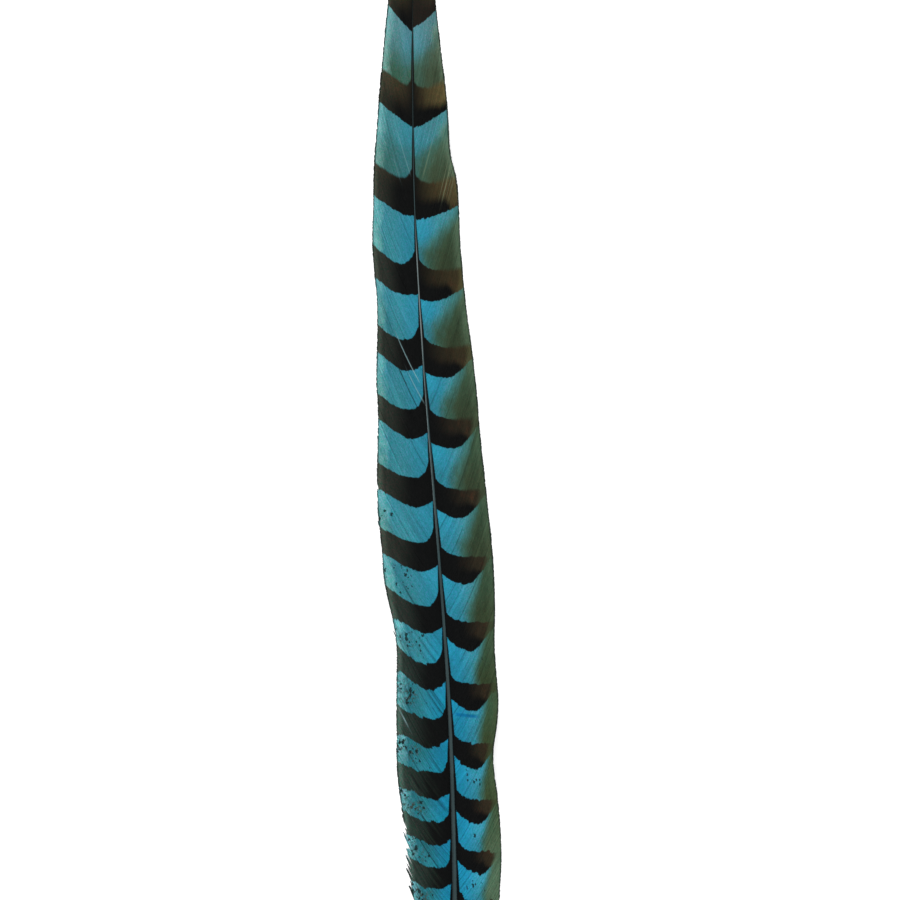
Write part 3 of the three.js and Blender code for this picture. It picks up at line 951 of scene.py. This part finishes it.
# Positive strengths paint a barb pale, partly its own pale side and partly a painted highlight. Negative
# ones paint shade along a split.
right_lines = (
    (409.5, 0.84, 0.98, 0.3), (406.6, 0.80, 0.97, 0.4), (403.4, 0.84, 0.96, 0.25),
    (388.4, 0.80, 1.0, 0.6), (390.4, 0.72, 1.0, 0.35), (385.8, 0.85, 1.0, 0.25),
    (393.6, 0.7, 0.95, 0.3), (417.8, 0.25, 0.58, 0.3), (284.0, 0.18, 0.5, -0.56),
    (246.0, 0.2, 0.5, -0.42), (213.0, 0.3, 0.7, -0.35),
)


def right_fray(end_place):
    return 0.4 * smooth_step(180, 140, end_place) + 0.02


right_vane = grow_vane(right_web, "right_barbs", 37, right_splits, right_lines, right_fray)

# The cells are turquoise by the shaft, greener at their feet in the upper feather, and pale at the
# margin in the highest ones.
silk = BarbSilk("outer_barb_silk")
drift, share, place = silk.drift, silk.share, silk.place
outwards = silk.fade(share, 0.2, 0.6)
head = silk.mix(
    outwards,
    silk.along((32, 138, 173), (46, 138, 163), (67, 137, 150)),
    silk.along((60, 150, 173), (67, 140, 153), (71, 134, 142)),
)
foot = silk.mix(
    outwards,
    silk.along((33, 129, 159), (48, 124, 142), (58, 95, 82)),
    silk.along((52, 132, 150), (60, 108, 101), (59, 80, 68)),
)
pale_edge = silk.times(silk.fade(share, 0.6, 0.85), silk.fade(drift, 0.08, 0.35), silk.to_top)
head = silk.mix(pale_edge, head, dyed(100, 142, 127))
cell = silk.mix(silk.down_cell, head, foot)

# Further out they turn teal and then olive, lighter along the very margin and in the lowest cells.
PALE_OLIVE = dyed(100, 132, 108)
soft = silk.swing(silk.clouds, 0.8, silk.read("olive"))
olive_dye = silk.mix(
    silk.down_cell,
    silk.along((62, 90, 66), (57, 79, 60), (76, 108, 90)),
    silk.along((58, 72, 47), (54, 66, 48), (66, 80, 61)),
)
olive_edge = silk.mix(
    silk.down_cell,
    silk.along((70, 89, 64), (70, 93, 72), (94, 127, 113)),
    silk.along((70, 85, 58), (67, 80, 59), (85, 99, 80)),
)
olive_dye = silk.mix(silk.fade(share, 0.82, 0.95, 0.0, 0.9), olive_dye, olive_edge)
upper_edge = silk.times(silk.to_upper, silk.fade(share, 0.75, 0.97, 0.0, 0.4))
olive_dye = silk.mix(upper_edge, olive_dye, dyed(98, 124, 100))
low_pale = silk.fade(place, 0.37, 0.31, 0.0, 0.5)
olive_dye = silk.mix(low_pale, olive_dye, PALE_OLIVE)
teal = silk.mix(
    silk.down_cell,
    silk.along((62, 122, 122), (63, 116, 113), (66, 112, 102)),
    silk.along((58, 101, 90), (56, 88, 74), (60, 88, 74)),
)
cell = silk.mix(silk.fade(soft, -1.2, 0.3), cell, teal)
cell = silk.mix(silk.fade(soft, -0.2, 1.3), cell, olive_dye)

# One smear of stronger blue crosses a cell, like a brush stroke. Tenths of a metre.
STROKE_PLACE = 2.3335
STROKE_SLANT = 0.14
out, up = silk.numbers(silk.spot)[0:2]
stroke = silk.sum("ADD", silk.sum("MULTIPLY_ADD", out, STROKE_SLANT, up), -STROKE_PLACE)
smear = silk.fade(silk.sum("ABSOLUTE", stroke), 0.0095, 0.002)
smear = silk.times(smear, silk.fade(out, 0.016, 0.03, 0.0, 0.95), silk.fade(out, 0.115, 0.085))
cell = silk.mix(smear, cell, dyed(10, 112, 158))

# Chestnut shows in the upper outer part of each bar, over a black band that ends in a point.
higher = silk.fade(place, 0.72, 0.85, 0.0, 0.2)
band = silk.fade(silk.sum("SUBTRACT", share, higher), 0.60, 0.86, 0.48, -0.1)
even_band = silk.fade(share, 0.35, 0.9, 0.47, 0.26)
band = silk.sum("MULTIPLY_ADD", silk.sum("SUBTRACT", even_band, band), silk.to_top, band)
high = silk.fade(silk.sum("SUBTRACT", drift, band), -0.16, 0.2)
begins = silk.fade(place, 0.45, 0.72, 0.35, -0.1)
outward = silk.fade(share, begins, silk.fade(place, 0.45, 0.72, 0.8, 0.92))
top_bar = silk.fade(place, 0.85, 0.88, 0.0, 0.8)
rusty = silk.along((50, 44, 33), (48, 43, 33), (92, 82, 53))
rusty = silk.mix(silk.to_upper, rusty, dyed(58, 52, 36))
rusty = silk.mix(silk.to_top, rusty, dyed(92, 82, 53))
rusty = silk.mix(top_bar, rusty, dyed(48, 44, 37))
rusty = silk.mix(silk.fade(silk.clouds, 0.5, 0.75, 0.0, 0.5), rusty, dyed(74, 50, 36))
bars = silk.mix(silk.times(high, outward), BLACK, rusty)
bars = silk.mix(silk.fade(place, 0.85, 0.88, 0.0, 0.7), bars, dyed(40, 36, 31))
edge_dye = silk.along((62, 72, 48), (61, 70, 52), (104, 92, 62))
edge_dye = silk.mix(silk.to_upper, edge_dye, dyed(76, 73, 49))
edge_dye = silk.mix(silk.to_top, edge_dye, dyed(104, 92, 62))
edge_dye = silk.mix(top_bar, edge_dye, dyed(54, 50, 42))
edge_dye = silk.mix(low_pale, edge_dye, PALE_OLIVE)
low_end = silk.times(silk.fade(drift, 0.5, 0.1), silk.fade(place, 0.70, 0.80, 0.05, -0.15))
low_end = silk.sum("SUBTRACT", low_end, silk.fade(place, 0.6, 0.75, 0.0, 0.07))
bars = silk.mix(silk.fade(silk.sum("ADD", share, low_end), 0.80, 0.93), bars, edge_dye)

# Fewer freckles than on the left vane, in the middle of the lower cells.
ends = silk.times(silk.fade(drift, 0.1, 0.3), silk.fade(drift, 0.8, 0.6))
zone = silk.times(silk.fade(place, 0.52, 0.38), silk.fade(share, 0.75, 0.6), silk.fade(share, 0.2, 0.4))
zone = silk.times(zone, ends, silk.fade(silk.patches, 0.42, 0.6))
freckle = silk.dots(silk.spot, 76, (1.2, 0.7, 1), silk.times(zone, 0.35), 0.46)
soft_top = silk.times(silk.fade(share, 0.35, 0.7), silk.fade(drift, 0.4, 0.7))
soft_top = silk.times(soft_top, silk.fade(place, 0.48, 0.62))
blur = silk.sum("MULTIPLY_ADD", soft_top, 0.9, silk.blur)
hue = silk.times(silk.hue, silk.fade(soft, 0.4, -0.8, 0.3, 1.0))
silk.cover_vane(right_vane, cell, freckle, bars, blur, hue, dyed(142, 154, 122))
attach(right_vane, "root")
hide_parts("right_vane")

# ------------------------------------------------------------------ the left down
# The lowest barbs of the left vane have no hooks. They are soft, curl as they like and carry fine
# side filaments, and make the fluff above the bare quill. Dye has taken to them paler.
DOWN_FROM = 43.5
DOWN_TO = 77.0
DOWN_BARBS = 54
FILAMENTS_A_SIDE = 24


def thread_corners(middles, half):
    """Rings of four corners round threads that are given by their middle lines, in mm."""
    tangent = np.gradient(middles, axis=1)
    tangent = tangent / np.linalg.norm(tangent, axis=-1, keepdims=True)
    flat = np.stack([-tangent[..., 1], tangent[..., 0], 0 * tangent[..., 0]], axis=-1)
    flat = flat / np.linalg.norm(flat, axis=-1, keepdims=True)
    up = np.cross(tangent, flat)
    steps = np.stack([-flat, up, flat, -up], axis=2) * half[..., None, None]
    return middles[:, :, None] + steps


def grow_down(web, name, seed):
    """The loose barbs at the foot of one vane, with their filaments, as a single piece."""
    chance = np.random.default_rng(seed)
    roots = np.linspace(DOWN_FROM, DOWN_TO, DOWN_BARBS) + chance.normal(0, 0.25, DOWN_BARBS)
    climbs = barb_climb(roots) * chance.uniform(0.75, 1.15, DOWN_BARBS)
    reaches = web.half_width(roots + climbs) * chance.uniform(0.75, 1.0, DOWN_BARBS)
    u = np.linspace(0, 1, 14)[None, :]
    start = (shaft_half_width(roots) * 0.9)[:, None]
    wave = chance.normal(0, 0.5, (DOWN_BARBS, 1))
    wave = wave * np.sin(2.6 * math.pi * u + chance.uniform(0, 6, (DOWN_BARBS, 1)))
    out = start + (reaches[:, None] - start) * u + 0.4 * wave * u
    place = roots[:, None] + climbs[:, None] * (0.45 * u + 0.55 * u * u) + wave * u
    bump = chance.uniform(0.1, 1.5, (DOWN_BARBS, 1)) * np.sin(math.pi * u**0.8)
    height = shaft_height(roots)[:, None] * (1 - u) ** 1.2 + bump + 0.15 + 0.2 * u
    middles = np.stack([shaft_sideways(place) + web.sign * out, place, height], axis=-1)
    half = np.broadcast_to(0.1 - 0.065 * u, height.shape)
    barbs = thread_corners(middles, half)

    # Filaments leave each barb by pairs, slanting to its end, and droop.
    at = np.linspace(0.1, 0.985, FILAMENTS_A_SIDE)
    ring = at * (u.shape[1] - 1)
    low = np.minimum(ring.astype(int), u.shape[1] - 2)
    part = (ring - low)[None, :, None]
    feet = middles[:, low] * (1 - part) + middles[:, low + 1] * part
    along = middles[:, low + 1] - middles[:, low]
    heading = np.arctan2(along[..., 1], along[..., 0])
    count = DOWN_BARBS * FILAMENTS_A_SIDE
    feet = np.concatenate([feet.reshape(-1, 3)] * 2)
    heading = np.concatenate([heading.ravel()] * 2)
    turn = np.repeat([-1.0, 1.0], count) * chance.uniform(0.6, 1.05, 2 * count)
    length = np.tile(3.0 - 1.7 * at, 2 * DOWN_BARBS) * chance.uniform(0.65, 1.1, 2 * count)
    s = np.linspace(0, 1, 5)[None, :]
    bearing = heading[:, None] + turn[:, None] * (1 - 0.4 * s)
    bearing = bearing + chance.normal(0, 0.12, (2 * count, 1)) * s
    slope = chance.normal(0.02, 0.2, (2 * count, 1))
    threads = np.stack(
        [
            feet[:, None, 0] + length[:, None] * s * np.cos(bearing),
            feet[:, None, 1] + length[:, None] * s * np.sin(bearing),
            np.maximum(feet[:, None, 2] + length[:, None] * (slope * s - 0.12 * s * s), 0.06),
        ],
        axis=-1,
    )
    filaments = thread_corners(threads, np.broadcast_to(0.045 - 0.022 * s, threads.shape[:2]))

    parts = []
    kinds = (("_barbs", barbs, 0.0, 0.1), ("_filaments", filaments, 0.1, 0.9))
    for label, corners, low_v, tall in kinds:
        strands, rings = corners.shape[:2]
        far = np.broadcast_to(np.linspace(0, 1, rings), (strands, rings))
        layout = bake_layout(strands, rings, far)
        for uv in layout:
            uv[..., 1] = low_v + tall * uv[..., 1]
        pale = far[..., None] if label == "_barbs" else 0.5 + 0.5 * far[..., None]
        root_uv = np.broadcast_to(corners[..., :2] / 100, (strands, rings, 4, 2))
        parts.append(strand_piece(name + label, corners, {"pale": pale}, {"Strand": root_uv}, layout))
    bpy.ops.object.select_all(action="DESELECT")
    for part in parts:
        part.select_set(True)
    bpy.context.view_layer.objects.active = parts[0]
    bpy.ops.object.join()
    down = bpy.context.object
    down.name = name
    return down


def cover_down(piece, name):
    """Fluff: grey at the roots, paler and bluer further out."""
    fluff = Finish(name)
    strand = fluff.map_place("Strand")
    tint = fluff.noise(strand, 26, 2.0, 0.5)
    colour = fluff.mix(fluff.fade(tint, 0.35, 0.65), dyed(58, 122, 138), dyed(96, 150, 158))
    colour = fluff.mix(fluff.fade(fluff.read("pale"), 0.0, 0.9), dyed(66, 92, 98), colour)
    grain = fluff.noise(strand, 700, 1.0)
    colour = fluff.mix(fluff.fade(grain, 0.5, 0.7, 0.0, 0.3), colour, dyed(136, 176, 180))
    fluff.cover(piece, colour, fluff.fade(grain, 0.3, 0.7, 0.7, 0.9), 0.06)


left_down = grow_down(left_web, "left_down", 53)
cover_down(left_down, "inner_down_fluff")
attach(left_down, "root")
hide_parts("left_vane")

# ------------------------------------------------------------------ the right down
# The same fluff at the foot of the right vane: soft barbs of keratin with their filaments, rooted in
# the shaft's right flank above the bare quill.
right_down = grow_down(right_web, "right_down", 71)
cover_down(right_down, "outer_down_fluff")
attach(right_down, "root")
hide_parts("right_vane")
